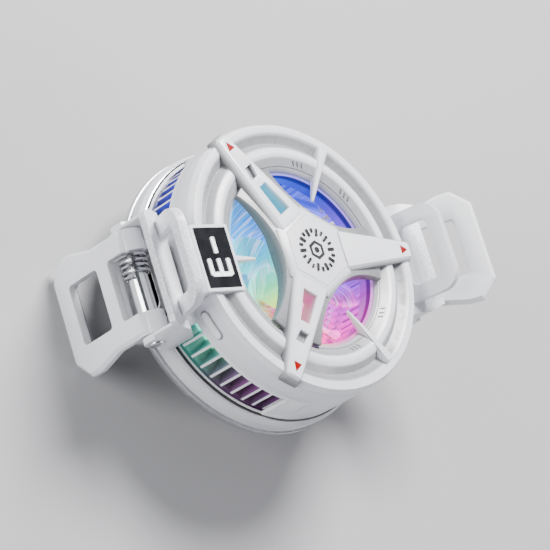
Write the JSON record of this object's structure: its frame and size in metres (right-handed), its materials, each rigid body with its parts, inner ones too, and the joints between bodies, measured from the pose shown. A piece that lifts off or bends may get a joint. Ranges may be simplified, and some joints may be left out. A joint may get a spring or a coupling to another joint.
{
  "type": "phone cooling fan",
  "caption": "Round white phone cooling fan with a three-armed guard, lit impeller, small display, magnets and a removable two-jaw phone clip.",
  "frame": {"origin": "centre of the thermal pad's contact face, which lies against the phone", "axes": "+Z out of the front of the fan along the impeller axis, +X towards the plain arm of the guard, -X towards the display and the port"},
  "size_m": [0.0864, 0.0592, 0.0379],
  "materials": {
    "white_shell": "satin moulded plastic",
    "grey_band": "satin moulded plastic, a little greyer",
    "red_inlay": "glossy",
    "lit_plastic": "translucent and lit from the edge",
    "bare_aluminium": "extruded",
    "polished_steel": "polished",
    "spring_steel": "drawn wire",
    "screw_steel": "plated",
    "plated_steel": "plated",
    "magnet": "nickel plated",
    "copper": "enamelled copper wire",
    "soft_rubber": "soft",
    "module_ceramic": "fired",
    "board": "solder mask",
    "dark_plastic": "moulded",
    "display_glass": "dark glass with white digits behind"
  },
  "bodies": {
    "root": {"drum_shell": "white_shell", "vent_frame_1": "white_shell", "vent_frame_2": "white_shell", "vent_frame_3": "white_shell", "vent_frame_4": "white_shell", "bezel": "white_shell", "guard_star": "white_shell", "hub_badge": "white_shell", "guard_fins": "white_shell", "display_housing": "white_shell", "left_bracket": "white_shell", "right_bracket": "white_shell", "base_ring": "grey_band", "tip_inlays": "red_inlay", "light_ring": "lit_plastic", "heat_sink": "bare_aluminium", "cold_plate": "bare_aluminium", "left_hinge_pin": "polished_steel", "right_hinge_pin": "polished_steel", "trim_ring": "polished_steel", "bearings": "polished_steel", "usb_c_socket": "polished_steel", "left_jaw_spring": "spring_steel", "right_jaw_spring": "spring_steel", "plate_screws": "screw_steel", "case_screws": "screw_steel", "bracket_screws": "screw_steel", "clip_ring": "plated_steel", "motor_stator": "plated_steel", "magnets": "magnet", "motor_coils": "copper", "thermal_pad": "soft_rubber", "insulation_foam": "soft_rubber", "thermoelectric_module": "module_ceramic", "main_board": "board", "display_board": "board", "led_board": "board", "bearing_tube": "dark_plastic", "button_switch": "dark_plastic", "display_window": "display_glass"},
    "impeller": {"impeller": "lit_plastic", "rotor_magnet": "magnet", "motor_shaft": "polished_steel"},
    "mode_button": {"mode_button": "white_shell"},
    "left_jaw": {"left_jaw": "white_shell", "left_grip_pad": "soft_rubber"},
    "right_jaw": {"right_jaw": "white_shell", "right_grip_pad": "soft_rubber"}
  },
  "joints": [
    {"name": "impeller_spin", "type": "hinge", "parent": "root", "child": "impeller", "pos_m": [0, 0, 0.0155], "axis": [0, 0, 1], "continuous": true},
    {"name": "button_press", "type": "slide", "parent": "root", "child": "mode_button", "axis": [0.9135, 0.4067, 0], "range_m": [0, 0.0004], "stiffness_N_per_m": 400},
    {"name": "left_jaw_hinge", "type": "hinge", "parent": "root", "child": "left_jaw", "pos_m": [-0.034, 0, 0.0105], "axis": [0, 1, 0], "range_deg": [-15, 135]},
    {"name": "right_jaw_hinge", "type": "hinge", "parent": "root", "child": "right_jaw", "pos_m": [0.034, 0, 0.0105], "axis": [0, -1, 0], "range_deg": [-150, 0]}
  ]
}
